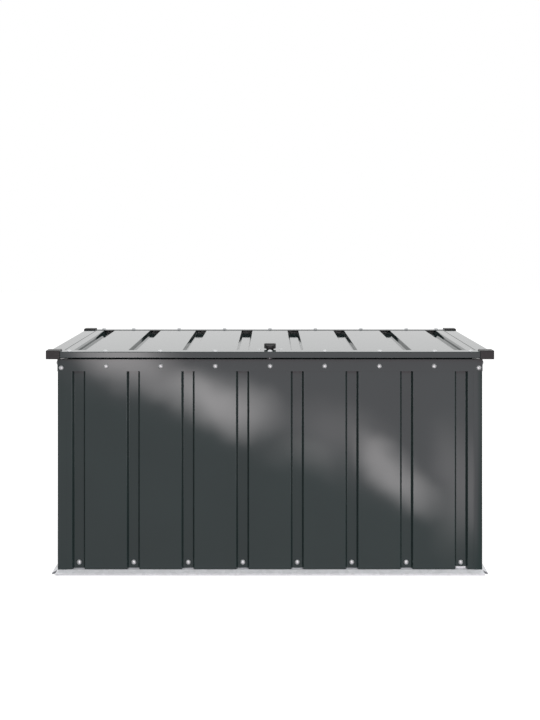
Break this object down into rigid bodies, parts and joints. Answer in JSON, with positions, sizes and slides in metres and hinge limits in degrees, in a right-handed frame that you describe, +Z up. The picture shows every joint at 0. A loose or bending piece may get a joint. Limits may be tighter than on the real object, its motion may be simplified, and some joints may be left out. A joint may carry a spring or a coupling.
{
  "type": "deck storage box",
  "caption": "Low rectangular garden storage box of grooved anthracite sheet steel on a galvanised base frame, with a hinged lid on gas struts and a round turn latch.",
  "frame": {"origin": "centre of the footprint of the lid's corner caps, on the ground under the base rails", "axes": "+X to the right along the width as seen from the front, +Y to the back where the hinges are, +Z up"},
  "size_m": [1.29, 0.67, 0.6624],
  "materials": {
    "anthracite_steel": "gloss powder coat",
    "galvanised_steel": "galvanised, smooth",
    "zinc_plate": "zinc plated",
    "zinc_fastener": "bright zinc plated",
    "black_plastic": "fine satin moulding",
    "black_paint": "satin black",
    "chromed_steel": "polished",
    "rubber": "soft matte"
  },
  "bodies": {
    "cabinet": {"base_rail_front": "galvanised_steel", "base_rail_back": "galvanised_steel", "base_rail_left": "galvanised_steel", "base_rail_right": "galvanised_steel", "floor_crossmember": "galvanised_steel", "floor_panel_left": "galvanised_steel", "floor_panel_right": "galvanised_steel", "front_wall": "anthracite_steel", "back_wall": "anthracite_steel", "left_wall": "anthracite_steel", "right_wall": "anthracite_steel", "corner_post_front_left": "anthracite_steel", "corner_post_front_right": "anthracite_steel", "corner_post_back_left": "anthracite_steel", "corner_post_back_right": "anthracite_steel", "top_rail_front": "anthracite_steel", "top_rail_back": "anthracite_steel", "top_rail_left": "anthracite_steel", "top_rail_right": "anthracite_steel", "front_wall_screws": "zinc_fastener", "back_wall_screws": "zinc_fastener", "left_wall_screws": "zinc_fastener", "right_wall_screws": "zinc_fastener", "cabinet_rivets": "zinc_fastener", "lid_bumpers": "rubber", "latch_keeper": "zinc_plate", "hinge_wall_leaf_left": "zinc_plate", "hinge_wall_leaf_right": "zinc_plate", "hinge_pin_left": "zinc_fastener", "hinge_pin_right": "zinc_fastener", "strut_wall_bracket_left": "zinc_plate", "strut_wall_bracket_right": "zinc_plate"},
    "lid": {"lid_sheet": "anthracite_steel", "lid_trim_front": "anthracite_steel", "lid_trim_back": "anthracite_steel", "lid_trim_left": "anthracite_steel", "lid_trim_right": "anthracite_steel", "lid_cap_front_left": "black_plastic", "lid_cap_front_right": "black_plastic", "lid_cap_back_left": "black_plastic", "lid_cap_back_right": "black_plastic", "lid_brace_front": "anthracite_steel", "lid_brace_back": "anthracite_steel", "lid_screws_front": "zinc_fastener", "lid_screws_back": "zinc_fastener", "lid_rivets": "zinc_fastener", "hinge_lid_leaf_left": "zinc_plate", "hinge_lid_leaf_right": "zinc_plate", "strut_lid_bracket_left": "zinc_plate", "strut_lid_bracket_right": "zinc_plate", "latch_housing": "zinc_plate", "latch_screws": "zinc_fastener"},
    "latch": {"latch_knob": "black_plastic", "latch_spindle": "zinc_fastener", "latch_cam": "zinc_plate", "latch_nut": "zinc_fastener"},
    "left_cylinder": {"strut_cylinder_left": "black_paint"},
    "right_cylinder": {"strut_cylinder_right": "black_paint"},
    "left_rod": {"strut_rod_left": "chromed_steel"},
    "right_rod": {"strut_rod_right": "chromed_steel"}
  },
  "joints": [
    {"name": "lid_hinge", "type": "hinge", "parent": "cabinet", "child": "lid", "pos_m": [0, 0.316, 0.6226], "axis": [-1, 0, 0], "range_deg": [0, 75]},
    {"name": "latch_turn", "type": "hinge", "parent": "lid", "child": "latch", "pos_m": [0, -0.263, 0.645], "axis": [0, 0, -1], "range_deg": [0, 90]},
    {"name": "left_strut_swing", "type": "hinge", "parent": "cabinet", "child": "left_cylinder", "pos_m": [-0.568, 0.23775, 0.4003], "axis": [-1, 0, 0], "range_deg": [0, 7.02]},
    {"name": "left_strut_extend", "type": "slide", "parent": "left_cylinder", "child": "left_rod", "axis": [0, 0.0111, 0.9999], "range_m": [0, 0.0911]},
    {"name": "right_strut_swing", "type": "hinge", "parent": "cabinet", "child": "right_cylinder", "pos_m": [0.568, 0.23775, 0.4003], "axis": [-1, 0, 0], "range_deg": [0, 7.02]},
    {"name": "right_strut_extend", "type": "slide", "parent": "right_cylinder", "child": "right_rod", "axis": [0, 0.0111, 0.9999], "range_m": [0, 0.0911]}
  ],
  "couplings": [
    {"joint": "left_strut_swing", "follows": "lid_hinge", "ratio": 0.09338},
    {"joint": "left_strut_extend", "follows": "lid_hinge", "m_per_rad": 0.069554},
    {"joint": "right_strut_swing", "follows": "lid_hinge", "ratio": 0.09338},
    {"joint": "right_strut_extend", "follows": "lid_hinge", "m_per_rad": 0.069554}
  ]
}
